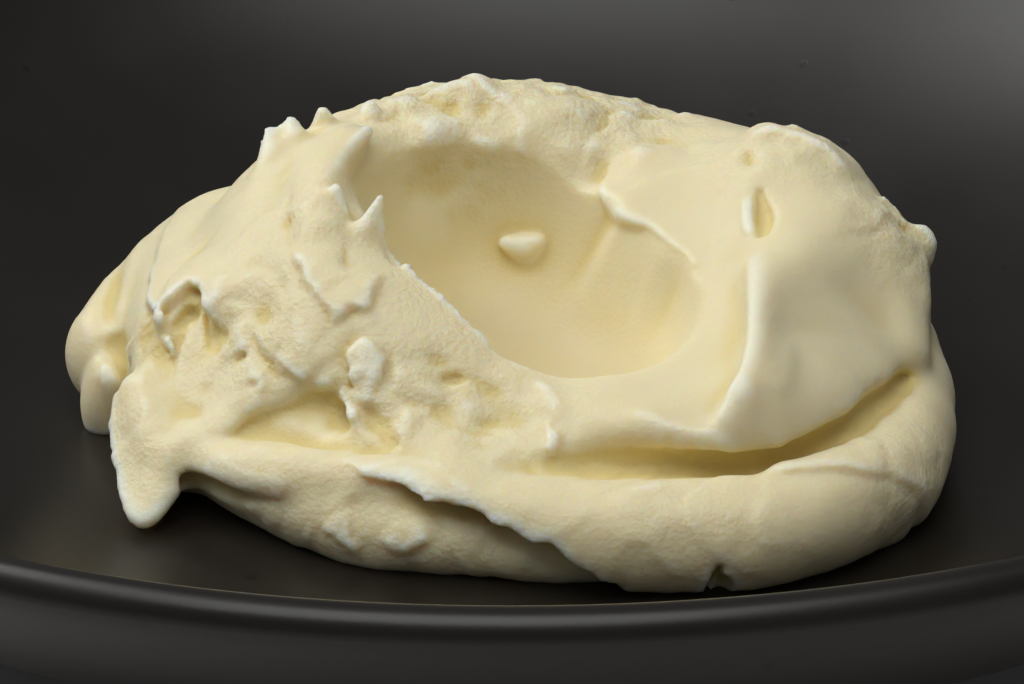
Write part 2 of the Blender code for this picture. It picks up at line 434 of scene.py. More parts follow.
    def blurred(self, radius):
        """The field averaged over boxes of about this radius, twice over."""
        width = max(1, int(round(radius / self.cell)))
        field = np.clip(self.field, -3, 3)
        for _ in range(2):
            for i in range(3):
                padded = np.concatenate([np.repeat(field.take([0], i), width + 1, i), field,
                                         np.repeat(field.take([-1], i), width, i)], i)
                total = np.cumsum(padded, i, dtype=np.float64)
                count = 2 * width + 1
                last = [slice(None)] * 3
                first = [slice(None)] * 3
                last[i] = slice(count, None)
                first[i] = slice(0, -count)
                field = ((total[tuple(last)] - total[tuple(first)]) / count).astype(np.float32)
        return field

    def sample(self, field, points):
        """A field's values at points, in mm."""
        place = np.clip((points - self.low) / self.cell, 0, np.array(self.shape) - 1.001)
        index = place.astype(int)
        f = place - index
        out = 0.0
        for corner in np.ndindex(2, 2, 2):
            weight = np.prod(np.where(corner, f, 1 - f), axis=1)
            out = out + weight * field[tuple((index + corner).T)]
        return out

    def skin(self):
        """Points and four-sided faces of the surface, facing out."""
        inside = self.field < 0
        nx, ny, nz = self.shape
        corners = [inside[i:nx - 1 + i, j:ny - 1 + j, k:nz - 1 + k]
                   for i, j, k in np.ndindex(2, 2, 2)]
        filled = sum(c.astype(np.int8) for c in corners)
        crossed = (filled > 0) & (filled < 8)
        cells = np.argwhere(crossed)
        number = np.full(crossed.shape, -1, np.int64)
        number[crossed] = np.arange(len(cells))
        value = {c: self.field[tuple((cells + c).T)] for c in np.ndindex(2, 2, 2)}
        total = np.zeros((len(cells), 3))
        count = np.zeros(len(cells))
        for axis in range(3):
            for near in value:
                if near[axis]:
                    continue
                far = tuple(1 if i == axis else near[i] for i in range(3))
                cut = (value[near] < 0) != (value[far] < 0)
                part = np.where(cut, value[near] / np.where(cut, value[near] - value[far], 1), 0)
                spot = np.tile(np.array(near, float), (len(cells), 1))
                spot[:, axis] = part
                total += spot * cut[:, None]
                count += cut
        points = (cells + total / count[:, None]) * self.cell + self.low
        faces = []
        for axis in range(3):
            u, v = (axis + 1) % 3, (axis + 2) % 3
            low, high = [slice(None)] * 3, [slice(None)] * 3
            low[axis], high[axis] = slice(0, -1), slice(1, None)
            below, above = inside[tuple(low)], inside[tuple(high)]
            for turn, crossing in ((1, below & ~above), (-1, ~below & above)):
                edge = np.argwhere(crossing)
                ring = []
                for du, dv in ((1, 1), (0, 1), (0, 0), (1, 0))[::turn]:
                    cell = edge.copy()
                    cell[:, u] -= du
                    cell[:, v] -= dv
                    ring.append(number[tuple(cell.T)])
                faces.append(np.stack(ring, 1))
        return points, np.vstack(faces)


# ---------------------------------------------------------------- the mash's forms
FRONT = (0, -0.9, 0.4)
UP = (0, -0.3, 0.95)
LEFT = (-0.6, -0.7, 0.4)
RIGHT = (0.7, -0.6, 0.4)


def lay_base(clay):
    """The flat lower layer with a rounded roll at its edge."""
    clay.lump((4, 0, 5), (50, 43, 8.6), blend=2)
    clay.roll([(50, 4, 6, 7.4), (48, -14, 6, 6.5), (43, -30, 5.5, 6), (30, -42.5, 4.2, 5.0),
               (8, -45.5, 3.2, 4.6), (-6, -44, 3.2, 4.6), (-21, -39.7, 3.4, 4.8),
               (-34, -26.5, 4.2, 5.4), (-42, -8, 5, 6), (-44, 14, 6, 8), (-28, 32, 7, 9),
               (0, 40, 7, 9), (28, 36, 7, 9), (45, 22, 6.5, 8), (50, 4, 6, 7.4)], blend=4)


def lay_ring(clay):
    """The thick ring round the well, highest at the back and on the right."""
    clay.roll([(39, 2, 15, 16.6), (32, 17, 17, 16.8), (18, 27, 17, 16.2), (2, 28, 19, 17.8),
               (-8, 27, 18.8, 17.4), (-19, 21, 18, 17.2), (-26, 8, 17.5, 16.4),
               (-23, -8, 15, 15.2), (-15, -17, 12.5, 13.2), (-6, -22.5, 10.5, 10.6),
               (2, -27.5, 9.6, 8.6), (9, -31, 9.2, 7.0)], blend=6)
    clay.roll([(39, 2, 14.6, 16.4), (37.5, -13, 13, 16.4), (30.5, -24.5, 11.8, 14.7),
               (19, -30, 11, 10.2), (6, -31, 9.2, 7.2)], blend=4)
    # the long slope below the well's front lip
    clay.roll([(-17, -29, 9, 7), (-12, -32, 8.4, 7), (-5, -36, 7.8, 6.2), (4, -38, 7.4, 5.6)],
              blend=6)
    clay.lump((35.8, 10.5, 18), (15.8, 15.5, 18.4))
    # the left rim rises towards the well
    clay.roll([(-24, -8, 29.5, 2.4), (-25.3, -2, 31.5, 2.8), (-25, 5, 33, 3), (-22.5, 12, 33.5, 3)],
              blend=5)


def press_flank(clay):
    """The right flank falls away flatly from the high fold's crest."""
    clay.hollow((42 + 0.55 * 90, -20 - 0.45 * 90, 21.5 + 0.7 * 90), (90, 90, 90), blend=6)


def lay_left_side(clay):
    """The slumped folds on the left and the mass that they lie on."""
    clay.roll([(-38, 20, 10, 14), (-42, 8, 9, 12.5), (-38, -5, 10, 13), (-29, -16, 9, 11.5)],
              blend=6)
    clay.roll([(-43, 20, 8.5, 12), (-49.2, 11.5, 7.2, 10.4), (-52.4, 2.8, 7.5, 8.8)], blend=1.5)
    clay.lump((-54, -3.8, 3.6), (4.2, 4.8, 8), blend=0.8,
              torn=[((-54, -4, 8.2), (0.1, -0.25, 1)), ((-57.2, -4, 4), (-1, 0, 0.1))])
    clay.roll([(-33.5, -23, 8, 6), (-24.5, -26, 7.5, 6), (-14, -29.5, 7, 6)], blend=4)


def press_well(clay):
    """The deep well that the back of the spoon left."""
    clay.lump((8, -4, 10), (27, 22.5, 18.5), blend=5)
    clay.lump((13, 10, 14), (17, 13, 14), blend=5)
    clay.hollow((3.2, -7.4, 30), (27.8, 18.7, 23.2), (0, 0, -51.5), blend=0.9)
    clay.hollow((-5, 5.5, 37), (17.5, 11, 17), blend=6)


def lay_slab(clay):
    """The broad slab that leans over the well from the right, torn along its lower edge."""
    clay.swell([(11, 8, 24), (15, 4, 22), (20, 1, 21), (23.5, -6, 20)], 8, 1.6)
    clay.roll([(16, 17, 27.5, 3.5), (20, 12, 27.5, 4.5), (26, 6, 26, 5), (29, -2, 24, 5)],
              blend=6)
    clay.fold([(19.5, 19.5, 34.4), (15.8, 17, 33.2), (13, 14, 31.6), (11.3, 11, 30.2),
               (10.9, 8, 28.9), (11.9, 6, 27.5), (13.5, 4.3, 27.1), (15.2, 3, 27.2),
               (16.7, 2, 26.6), (18.6, 0.8, 26.6), (20.9, -1.7, 26.0), (22.4, -4, 25.4),
               (23.4, -7, 24.8), (24.4, -11.5, 24.6)],
              10, 1.7, (-0.6, -0.6, 0.5), rag=0.7, crisp=0.7, ends=(1.8, 5))


def press_scoop(clay):
    """The second press of the spoon: a bright facet to the right of the well's front lip."""
    sides = [((30.7, -20, 25), (0.99, -0.08, 0.05)), ((29.3, -35.5, 22), (0.93, -0.34, 0.0)),
             ((27.3, -39.3, 19), (0.75, -0.66, 0.0))]
    clay.roll([(9, -34, 11.6, 4.2), (17, -36, 12.6, 5.4), (26, -35.5, 13.6, 6.8),
               (34, -28.5, 12.6, 7.4), (42, -20, 12, 6)], blend=8)
    clay.hollow((15.7, -32, 48.8), (32, 60, 30), (7.8, -17.8, 0), blend=3, limits=sides, soft=4)
    clay.hollow((24, -53.4, 55.1), (40, 40, 40), blend=1.5, limits=sides, soft=4)
    # its raised right edge, pushed up by the spoon
    clay.swell([(22.5, -13, 24.5), (26, -14, 26.5), (30.4, -15.5, 28), (30.9, -22, 26.5),
                (30.5, -30, 24.7), (29.3, -35.5, 22.3), (27.8, -39, 20.2), (27, -41, 18.8),
                (25, -42.5, 16.7), (22, -43, 15)], 2.8, 0.6)
    clay.swell([clay.front(28.0, 20.6)], 1.7, 0.6)
    clay.fold([(26.2, -42.6, 17.4), (25, -42.5, 16.7), (22, -41.3, 17), (19, -40, 17.3),
               (16.9, -38.8, 17.6), (13.5, -37, 18)], 2.2, 0.4, (0, -0.8, 0.6), rag=0.4, crisp=0.8)


def lay_ledge(clay):
    """The lower lip along the front: a soft apron on the left, a thick torn ledge on the right."""
    clay.roll([(-40, -27, 6.5, 3.4), (-34, -33, 6.8, 3.8), (-27, -36.3, 7.4, 3.9),
               (-20, -38.8, 8.0, 3.7), (-13, -41, 8.4, 3.4)], blend=3)
    clay.roll([(-24, -38.2, 9.0, 2.0), (-15.5, -41.7, 9.3, 2.9), (-7, -45.0, 8.6, 4.1),
               (1, -46.5, 7.2, 5.2), (10, -47.8, 5.9, 6.4), (20, -48.3, 5.8, 6.6),
               (31, -46.3, 6.0, 6.9), (41.5, -39, 6.2, 7), (48, -26, 6, 7), (51, -12, 6, 7.2),
               (51.6, 4, 6, 7.2)], blend=1.2, end_blend=3,
              torn=(((7.2, -53, 6), (-0.66, 0, -0.75)), ((-3.3, -50, 9.6), (-0.15, -0.05, -0.98))))
    clay.lump((44.6, -36.2, 4.5), (5.6, 5.0, 6), blend=3)
    # the crease above it is soft and deep, and runs up under the right flank
    clay.roll([(-6, -40.5, 8.8, 3.4), (10, -41.4, 8.6, 3.8), (24, -41, 8.3, 3.8),
               (34, -36.5, 7.8, 3.4)], blend=5)
    clay.swell([(-5, -42, 12.8), (3.5, -42.3, 12.6), (13, -41.8, 12.4), (25.5, -41.8, 12),
                (30, -41.0, 12), (36, -37.5, 12.4), (43, -30.5, 12.8), (48.5, -22, 13),
                (52, -14, 13), (54.5, -3, 12.5)], 2.4, -1.6)
    clay.groove([(2, -42, 13.4, 0.4), (10, -41.6, 12.6, 1.3), (20, -41.6, 12.2, 1.7),
                 (28, -40.8, 12.2, 1.9), (35, -37.4, 12.6, 1.8), (42, -31, 12.9, 1.4),
                 (48, -22, 13.2, 1.0), (52, -13, 13.2, 0.4)], blend=3)
    # the ledge's crest on the right, ending in a small tip
    clay.fold([(29, -45.2, 13), (33, -44.8, 13), (38, -43.5, 12.4), (43, -42, 10.8),
               (46.8, -39.8, 8.6), (48.8, -38, 6), (49.6, -36.6, 3.4)], 5, 0.9, (0.5, -0.6, 0.6),
              rag=0.3, crisp=0.8, ends=(5, 0))
    clay.swell([(10.5, -50, 12), (17, -48.5, 12.4), (22.5, -47.5, 12.4)], 1.5, 0.35)
    # a notch torn out of its foot
    clay.hollow((25.2, -54.5, 0.3), (2.0, 5, 3.4), blend=0.4)
    clay.hollow((23.9, -54.5, 0.6), (0.9, 5, 4.6), turn=(0, 12, 0), blend=0.3)


def lay_tongue(clay):
    """The tongue dragged out on to the bowl at the front left, and the crest behind it."""
    clay.roll([(-40, -11, 9, 6.5), (-41.5, -18, 6.5, 5.5), (-43, -24, 4, 4)], blend=5)
    clay.flap([(-44, -12, 11), (-41, -17, 9.5), (-38, -20, 8.5), (-34, -23, 8)],
              [(-50.8, -22, 7.6), (-49.6, -28, 4.6), (-46, -35.2, 1.2), (-42.3, -32.5, 3.8),
               (-38.6, -28.6, 6.8)], (4.6, 1.0), blend=4, rag=0.5, seed=5,
              bulge=(-0.3, -1.0, 1.0), crisp=0.8, gap=0.5)
    clay.fold([(-39, -32, 10), (-35, -31, 11.8), (-31, -29.5, 13.4), (-27, -28.8, 14.7),
               (-23, -28.6, 15.8), (-18.5, -28.4, 17)], 7, 1.3, (0, -0.8, 0.6), rag=0.35,
              crisp=0.8, ends=(2.5, 5))
    clay.hollow((-27.5, -32, 14.6), (10, 3.6, 2.0), turn=(24, 8, 14), blend=2.5)
    clay.groove([(-40.5, -31, 4.6, 1.2), (-37, -35, 5, 1.8), (-33, -38, 5.4, 1.2),
                 (-29, -40.2, 6.2, 0.3)], blend=2)


def tear_valley(clay):
    """The torn place between the tongue's crest and the well's front lip."""
    clay.groove([clay.front(-18.6, 15.8, 0.2) + (0.9,), clay.front(-16.6, 14.6, 0.1) + (1.5,),
                 clay.front(-14.4, 13.2, 0.2) + (1.2,)], blend=0.4)
    clay.fold([clay.front(-22.5, 14.8, 0), clay.front(-21, 13.8, 0), clay.front(-19.4, 14.2, 0),
               clay.front(-18.6, 16, 0)], 3, 0.9, FRONT, rag=0.4)
    # an upright chip
    clay.flap([clay.front(-18.9, 15.6, -0.4), clay.front(-18, 15.7, -0.4)],
              [clay.front(-20, 20.4, 0.3), clay.front(-18.2, 21.6, 0.4),
               clay.front(-16, 20.4, 0.2)], (0.9, 0.65), blend=1.2, rag=0.4, seed=12,
              bulge=(0, -0.3, 0.2), crisp=0.4)
    clay.hollow(clay.front(-7.5, 18.3, 0.5), (1.3, 1.0, 0.9), blend=0.4)


def tear_lip(clay):
    """The well's left lip, pulled up into two peaks, and the slabs below them."""
    clay.flap([(-26, 8, 33), (-26.3, 2, 32), (-26.5, -3, 30.5)],
              [(-19.9, 10.8, 36.6), (-22.6, 5.5, 35.8), (-24.4, -1.5, 34.0)], (2.4, 0.5),
              blend=4, rag=0.8, seed=7, crisp=0.5)
    clay.flap([(-26.5, -4, 29), (-26, -8, 27.5), (-24.5, -12, 25.5)],
              [(-22.4, -5.0, 34.7), (-21.2, -8.0, 30.6), (-20.6, -13.0, 27.2)], (2.2, 0.45),
              blend=2.5, rag=0.8, seed=8, crisp=0.4)
    clay.flap([(-21, -11, 26), (-19, -13, 24), (-17, -16, 21.5), (-14.5, -18.5, 20)],
              [(-16.8, -6.9, 33.6), (-16.4, -9.0, 28.8), (-15, -11.2, 26.5), (-12.2, -14.4, 24.4)],
              (2.1, 0.45), blend=2.5, rag=0.8, seed=9, crisp=0.4)
    clay.flap([(-16.5, -16, 22), (-13.5, -19, 20.5), (-10, -22, 18.5), (-5.5, -25, 17)],
              [(-13.4, -13.9, 26.6), (-12, -15.8, 26), (-9.6, -18.4, 24.6), (-6.5, -21.3, 22.5),
               (-3.8, -23.4, 20.8)], (2.4, 0.6), blend=3, rag=0.7, seed=10, crisp=0.5)
    # the lower ends of the slabs stand off the slope
    clay.fold([(-28, -10, 29), (-27, -14, 26.4), (-24.6, -18, 23.4), (-21.6, -20.6, 21.6),
               (-20.2, -19.6, 22.8), (-18.4, -19.8, 22.4), (-17, -17.5, 24.2), (-16.2, -15, 25.8)],
              6, 1.6, (0, -0.8, 0.6), rag=0.6)
    clay.swell([(-28.4, 0, 33), (-28.4, -6, 30.5), (-27.4, -11, 28)], 1.2, -0.6)
    clay.swell([(-20.6, -9, 30), (-20.2, -13, 27.2), (-19.6, -16, 25)], 0.9, -0.7)


def tear_back(clay):
    """The small peaks and lumps along the back."""
    clay.flap([(-33.5, 6, 30), (-31, 9, 32), (-28.6, 12, 33)],
              [(-34.4, 9.5, 32), (-33.6, 12, 35.4), (-31.6, 13.6, 35.9), (-30.2, 14.2, 37.3),
               (-29, 14.4, 34.2)], (1.8, 0.3), blend=3, rag=0.9, seed=21, crisp=0.4)
    for root, edge, thick, seed in (
            ([(-27.5, 17, 32), (-25, 18.5, 33)],
             [(-27.4, 17.4, 34.4), (-26.2, 18, 36.7), (-24.6, 18.7, 34.8)], (1.3, 0.3), 41),
            ([(-20.8, 20, 33.6), (-18.8, 21, 34)],
             [(-20.6, 20.2, 35.0), (-19.7, 20.6, 36.0), (-18.4, 21, 35.2)], (0.9, 0.25), 42),
            ([(-16.8, 22.3, 34.2), (-13.8, 23.5, 34.6)],
             [(-16.4, 22.8, 35.6), (-15.2, 23.1, 36.2), (-13.7, 23.5, 35.7)], (0.9, 0.3), 43),
            ([(-9.6, 26, 34.6), (-3, 26.6, 35)],
             [(-10.6, 26, 36.8), (-8, 26.3, 37.1), (-4, 26.7, 36.5)], (1.8, 0.5), 44)):
        clay.flap(root, edge, thick, blend=2, rag=0.5, seed=seed, crisp=0.6)
    for x, y, wide, high in ((-25.8, 17.5, 1.8, 0.7), (-19.6, 20.5, 1.6, 0.7), (-15, 23, 1.6, 0.7),
                             (-9.2, 25.5, 1.4, 1.1), (-6, 26, 3.0, 1.5), (-11, 18, 2.6, 1.3),
                             (1, 25, 4, 0.5), (9, 23.5, 4, 0.6), (17, 22, 3.5, 0.4)):
        clay.swell([clay.top(x, y)], wide, high)
    rng = np.random.default_rng(31)
    for angle in np.linspace(40, 128, 16):
        reach = 21.5 + rng.uniform(-1, 6)
        place = (3.2 + reach * 1.12 * math.cos(math.radians(angle)),
                 -3 + reach * math.sin(math.radians(angle)))
        size = rng.uniform(1.6, 3.2)
        clay.swell([clay.top(*place, 0.2)], size, rng.uniform(0.3, 0.7))


def tear_left_flank(clay):
    """The fold that hangs over the left flank, the hollows under it, and the cheek's ridge."""
    # far and near folds
    clay.swell([clay.left(14, 24, 0), clay.left(17, 27, 0), clay.left(21, 29, 0)], 1.6, -0.9)
    # the flank is sunk below the overhang, whose edge runs down to the right
    clay.swell([(-43, -10, 17), (-38, -14, 17), (-34, -18, 16)], 5, -1.6)
    edge = [clay.front(x, z) for x, z in ((-47.7, 20.8), (-47.2, 19.6), (-46, 18.8), (-43.8, 20.2),
                                          (-41.5, 21.8), (-40, 22), (-39, 20.6), (-37.3, 19.4),
                                          (-34.5, 18))]
    clay.fold(edge, 7, 2.0, LEFT, rag=0.4, crisp=0.7)
    clay.groove([clay.front(-45.4, 18.2, 0.3) + (1.0,), clay.front(-42, 19.8, 0.2) + (1.3,)],
                blend=0.6)
    clay.groove([clay.front(-39.6, 20, 0.3) + (1.0,), clay.front(-38.8, 17.6, 0.5) + (1.0,)],
                blend=0.6)
    for x, z in ((-34.3, 18), (-32.4, 16)):
        clay.hollow(clay.front(x, z, 0.4), (1.3, 1.2, 1.0), blend=0.8)
    # a feathered smear beside them
    clay.fold([clay.front(-34, 21.5, 0), clay.front(-31, 19.2, 0), clay.front(-28.3, 17.4, 0),
               clay.front(-26, 15.2, 0)], 6, 1.1, (0, -0.8, 0.6), rag=0.9)
    # the cheek's ridge
    clay.swell([(-46, -6, 20), (-47.8, -8, 17), (-48, -11, 14), (-47, -15, 11.5)], 2.4, 1.1)
    # the block under the outer lobe has a torn top edge
    clay.fold([clay.front(-50, 8.6, 0), clay.front(-53, 9.2, 0), clay.front(-56.5, 8.2, 0)],
              4, 0.9, FRONT, rag=0.5)
    # the recess behind the cheek, in the outer lobe
    clay.swell([clay.front(-55.4, 17.5), clay.front(-54.6, 14.5), clay.front(-53.4, 11.8),
                clay.front(-51, 9.8)], 1.8, -1.3)
    # soft strands drawn down the slope
    for x, z, right, low, wide, high in ((-37, 26, -39.5, 19, 1.6, 0.5), (-32, 25, -29.5, 18, 1.6, -0.5),
                                         (-29, 29, -24.5, 19.5, 1.4, 0.4), (-12, 21.5, 0, 16.5, 1.2, -0.5),
                                         (-14.5, 19, -2, 15, 1.3, 0.5), (-23, 18, -13, 14.5, 1.3, -0.4),
                                         (-35, 21, -30, 15, 1.2, 0.4)):
        clay.swell([clay.front(x, z), clay.front((x + right) / 2 - 0.6, (z + low) / 2 - 0.6),
                    clay.front(right, low)], wide, high)


def tear_right_side(clay):
    """Pits, trough and torn edge on the high fold, and the soft facets of its flank."""
    clay.groove([clay.top(32.8, 0, 0.5) + (0.8,), clay.top(33, -4, 0.4) + (1.6,),
                 clay.top(32.6, -7.5, 0.6) + (1.4,)], blend=0.8)
    clay.swell([clay.top(31.4, -8, 0), clay.top(31.1, -4, 0), clay.top(31.2, 1, 0)], 0.9, 0.7)
    clay.hollow(clay.top(31.6, 5, 0.9), (1.0, 2.6, 1.2), blend=1.6)
    clay.hollow(clay.front(23.8, 24.6, 0.8), (1.7, 1.2, 0.9), blend=1.4)
    clay.fold([clay.top(31, 9.5, 0), clay.top(36, 9.5, 0), clay.top(41, 7, 0),
               clay.top(45.5, 3.5, 0)], 5, 1.2, UP, rag=0.25, crisp=1.2)
    clay.swell([clay.top(35, 14.5)], 2.4, 0.5)
    # the outer fold, torn along its top
    clay.flap([(43, 3, 24), (46, -1, 22), (48, -5, 20), (49.5, -9, 17.5), (50, -13, 15)],
              [(46, 6.5, 27.6), (47.8, 5, 27.8), (50.1, 3.6, 25.6), (52.7, 3.2, 24.7),
               (54.4, -1, 22.1)], (3.8, 0.5), blend=3.5, rag=1.2, seed=14, crisp=0.8)
    clay.flap([(48.8, 5, 25), (51, 4.6, 24.4)],
              [(48.6, 5, 27.2), (49.6, 5, 28.6), (51.2, 4.6, 26.4)], (1.3, 0.35), blend=1.5,
              rag=0.5, seed=45, crisp=0.5)
    clay.flap([(53, 3, 22.6), (55, 2, 22)],
              [(53.2, 3.2, 24.8), (54.8, 2.6, 25.4), (55.9, 2, 23.8)], (1.2, 0.35), blend=1.5,
              rag=0.5, seed=46, crisp=0.5)
    clay.hollow(clay.top(52.4, 1.5, 0.2), (1.5, 1.2, 1.2), blend=0.4)
    # soft creases and facets down the flank
    clay.swell([clay.front(34, 27, 0), clay.front(36, 20, 0), clay.front(36, 13, 0)], 5, -0.35)
    clay.swell([clay.front(42, 27, 0), clay.front(46.5, 21, 0), clay.front(46.5, 15, 0)], 5, -0.35)
    clay.fold([clay.front(31.5, 19.5, 0), clay.front(33.5, 20, 0), clay.front(35, 22.3, 0)], 3, 0.35,
              RIGHT, rag=0.3, crisp=1.5)


def tear_base(clay):
    """Small flakes and splits on the lower layer."""
    clay.fold([(-16, -47.4, 5.2), (-13, -48.2, 3.4), (-11, -48.6, 4.2), (-8.6, -48.8, 5.6)],
              3.5, 0.8, FRONT, rag=0.4)
    clay.fold([(-24, -44.4, 5.0), (-20.5, -46, 3.6), (-18.8, -46.6, 2.4), (-18, -46.6, 4.4)],
              3.5, 0.6, FRONT, rag=0.4)
    # a small flake and the pleat above it, where two smears meet
    clay.fold([clay.front(3.4, 15.4, 0), clay.front(4, 13.4, 0), clay.front(5, 13.2, 0),
               clay.front(5.6, 15.2, 0)], 2.4, 1.0, FRONT, rag=0.3)
    clay.swell([(1.5, -29, 18.4), (3.5, -31.5, 18), (4.8, -34, 17), (5, -37, 15.6)], 1.0, 0.6)


def drop_in_well(clay):
    """A lump that fell on the well's back wall."""
    x, y, z = clay.front(1.4, 19.0)
    for right, back, up, radii, blend in ((0.2, -0.3, 0, (2.4, 1.9, 1.9), 1.6),
                                          (-2.0, -0.1, 0.5, (1.3, 1.3, 1.0), 1.2),
                                          (1.7, -0.5, 0.9, (1.2, 1.2, 1.0), 1.0),
                                          (1.0, -0.2, -1.6, (1.6, 1.4, 2.0), 1.6)):
        clay.lump((x + right, y + back, z + up), radii, blend=blend)


def build_forms(clay):
    lay_base(clay)
    lay_ring(clay)
    press_flank(clay)
    lay_left_side(clay)
    press_well(clay)
    lay_slab(clay)
    press_scoop(clay)
    lay_ledge(clay)
    lay_tongue(clay)
    tear_valley(clay)
    tear_lip(clay)
    tear_back(clay)
    tear_left_flank(clay)
    tear_right_side(clay)
    tear_base(clay)
    drop_in_well(clay)


def zones(clay, places):
    """Where the surface is torn and rough: fades from 1 inside each ball to 0 outside it."""
    x, y, z = np.meshgrid(*clay.axes, indexing="ij", sparse=True)
    out = np.zeros(clay.shape, np.float32)
    for strength, reach, (px, py, pz) in places:
        gap = np.sqrt((x - px)**2 + (y - py)**2 + (z - pz)**2)
        out = np.maximum(out, strength * np.clip(1.3 - gap / reach, 0, 1))
    return out


def steps(values):
    """A rise that falls back sharply each time the values pass a whole number."""
    share = values - np.floor(values)
    return share * np.clip((1 - share) * 12, 0, 1)


def finish_skin(clay):
    """Soft waves and overlapping smears all over, and a finer tear where it was pulled apart."""
    soft = clay.noise(9, 20) * 0.5 + clay.noise(5, 21) * 0.35
    fine = clay.noise(2.3, 22) * 0.6 + clay.noise(1.2, 23) * 0.45
    smears = steps(clay.noise(11, 24) * 1.7 + clay.noise(4, 25) * 0.35 + clay.tear * 0.05)
    torn = zones(clay, ((0.6, 12, (-14, -31, 15)), (0.25, 20, (-26, -42, 5)),
                        (0.3, 20, (-8, -47, 5)), (0.5, 11, (-31, -20, 20)),
                        (0.35, 11, (-40, -16, 14)), (0.5, 14, (-4, -33, 16)),
                        (0.5, 12, (-24, -10, 27)), (0.6, 8, (-13, -17, 24)),
                        (0.6, 8, (-6, -23, 20)), (0.3, 12, (-46, -26, 6)),
                        (1.0, 16, (-10, 27, 37)), (1.0, 14, (14, 27, 35)),
                        (0.5, 12, (38, 10, 36)), (0.6, 10, (51, 0, 26)),
                        (0.3, 14, (20, -48, 8)), (0.3, 12, (48, -36, 8))))
    x, y, z = np.meshgrid(*clay.axes, indexing="ij", sparse=True)
    beyond_well = np.clip(((x - 1) / 25)**2 + ((y + 8) / 25)**2, 0, 1)**3
    streaks = clay.noise((4, 3, 14), 26) * np.clip((x - 28) / 10, 0, 1)
    streaks += clay.noise((7, 3, 3), 27) * torn * 1.6
    clay.field += beyond_well * (soft * 0.45 - smears * (0.05 + torn * 0.8) + fine * torn
                                 + streaks * 0.22)
    clay.field += soft * fine * 0.06
    clay.field = np.maximum(clay.field, -z - 0.3)
    return torn


def shape_mash():
    clay = Clay(CLAY_LOW, CLAY_HIGH, CELL)
    clay.drift = [clay.noise(13, 11) * 0.7, clay.noise(13, 12) * 0.7, clay.noise(12, 13) * 0.5]
    clay.tear = clay.noise(2.6, 61) * 0.8 + clay.noise(1.4, 62) * 0.6
    build_forms(clay)
    torn = finish_skin(clay)
    return clay, torn


def largest_piece(count, faces):
    """The faces that hang together in the largest piece."""
    label = np.arange(count)
    while True:
        lowest = label[faces].min(1)
        new = label.copy()
        np.minimum.at(new, faces.ravel(), np.repeat(lowest, 4))
        new = new[new]
        if (new == label).all():
            break
        label = new
    owner = label[faces[:, 0]]
    return faces[owner == np.bincount(owner).argmax()]


def plain_mesh(item, name):
    """The item with its modifiers applied, as a new plain mesh object; the item is removed."""
    shown = item.evaluated_get(bpy.context.evaluated_depsgraph_get())
    mesh = bpy.data.meshes.new_from_object(shown)
    old = item.data
    bpy.data.objects.remove(item, do_unlink=True)
    bpy.data.batch_remove([old])
    made = bpy.data.objects.new(name, mesh)
    mesh.name = name
    bpy.context.scene.collection.objects.link(made)
    return made


def keep_values(mesh, name, values):
    """Keep a value at each point for the material to read."""
    mesh.attributes.new(name, "FLOAT", "POINT").data.foreach_set("value", values)


def make_mash():
    clay, torn = shape_mash()
    points, faces = clay.skin()
    faces = largest_piece(len(points), faces)
    used, faces = np.unique(faces, return_inverse=True)
    points = points[used] * MM + np.array([0, 0, FLOOR_TOP])
    mesh = bpy.data.meshes.new("rough mash")
    mesh.from_pydata(points.tolist(), [], faces.reshape(-1, 4).tolist())
    rough = bpy.data.objects.new("rough mash", mesh)
    bpy.context.scene.collection.objects.link(rough)
    if len(mesh.polygons) * 2 > MASH_TRIANGLES:
        thin = rough.modifiers.new("thin", "DECIMATE")
        thin.ratio = MASH_TRIANGLES / (len(mesh.polygons) * 2)
    mash = plain_mesh(rough, "mash")
    mash.data.shade_smooth()
    places = np.empty(len(mash.data.vertices) * 3)
    mash.data.vertices.foreach_get("co", places)
    places = (places.reshape(-1, 3) - np.array([0, 0, FLOOR_TOP])) / MM
    for name, radius in (("broad_hollow", 3.0), ("fine_hollow", 1.0)):
        keep_values(mash.data, name, -clay.sample(clay.blurred(radius), places))
    keep_values(mash.data, "torn", clay.sample(torn, places))
    # painted shade: a darker colour low in the well, round its middle, where the well's walls shut out
    # light
    x, y, z = (places - np.array([5, -8, 0])).T
    keep_values(mash.data, "well_shade",
                soft_step((16 - z) / 8) * soft_step((24 - np.hypot(x, y)) / 6))
    mash.data.materials.append(mash_material())
    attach(mash, "root")
    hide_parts("mashed_potato")
    return mash


# ---------------------------------------------------------------- node helpers
def wire(tree, kind, inputs=None, **settings):
    """A new node with its settings, its inputs set or linked by name or number."""
    made = tree.nodes.new(kind)
    for name, value in settings.items():
        setattr(made, name, value)
    for name, value in (inputs or {}).items():
        if isinstance(value, bpy.types.NodeSocket):
            tree.links.new(value, made.inputs[name])
        else:
            made.inputs[name].default_value = value
    return made


def sockets(tree, inputs, outputs):
    """Name a group's sockets; returns its input node's and output node's."""
    for names, side in ((inputs, "INPUT"), (outputs, "OUTPUT")):
        for name, kind, *value in names:
            socket = tree.interface.new_socket(name, in_out=side, socket_type=kind)
            if value:
                socket.default_value = value[0]
    return tree.nodes.new("NodeGroupInput").outputs, tree.nodes.new("NodeGroupOutput").inputs


def maths(tree, operation, *values):
    return wire(tree, "ShaderNodeMath", dict(enumerate(values)), operation=operation).outputs[0]


def shape_by(item, tree, values):
    """Give an item a Geometry Nodes modifier with these values for the tree's named inputs."""
    modifier = item.modifiers.new(tree.name, "NODES")
    modifier.node_group = tree
    for socket in tree.interface.items_tree:
        if socket.in_out == "INPUT" and socket.name in values:
            modifier[socket.identifier] = values[socket.name]


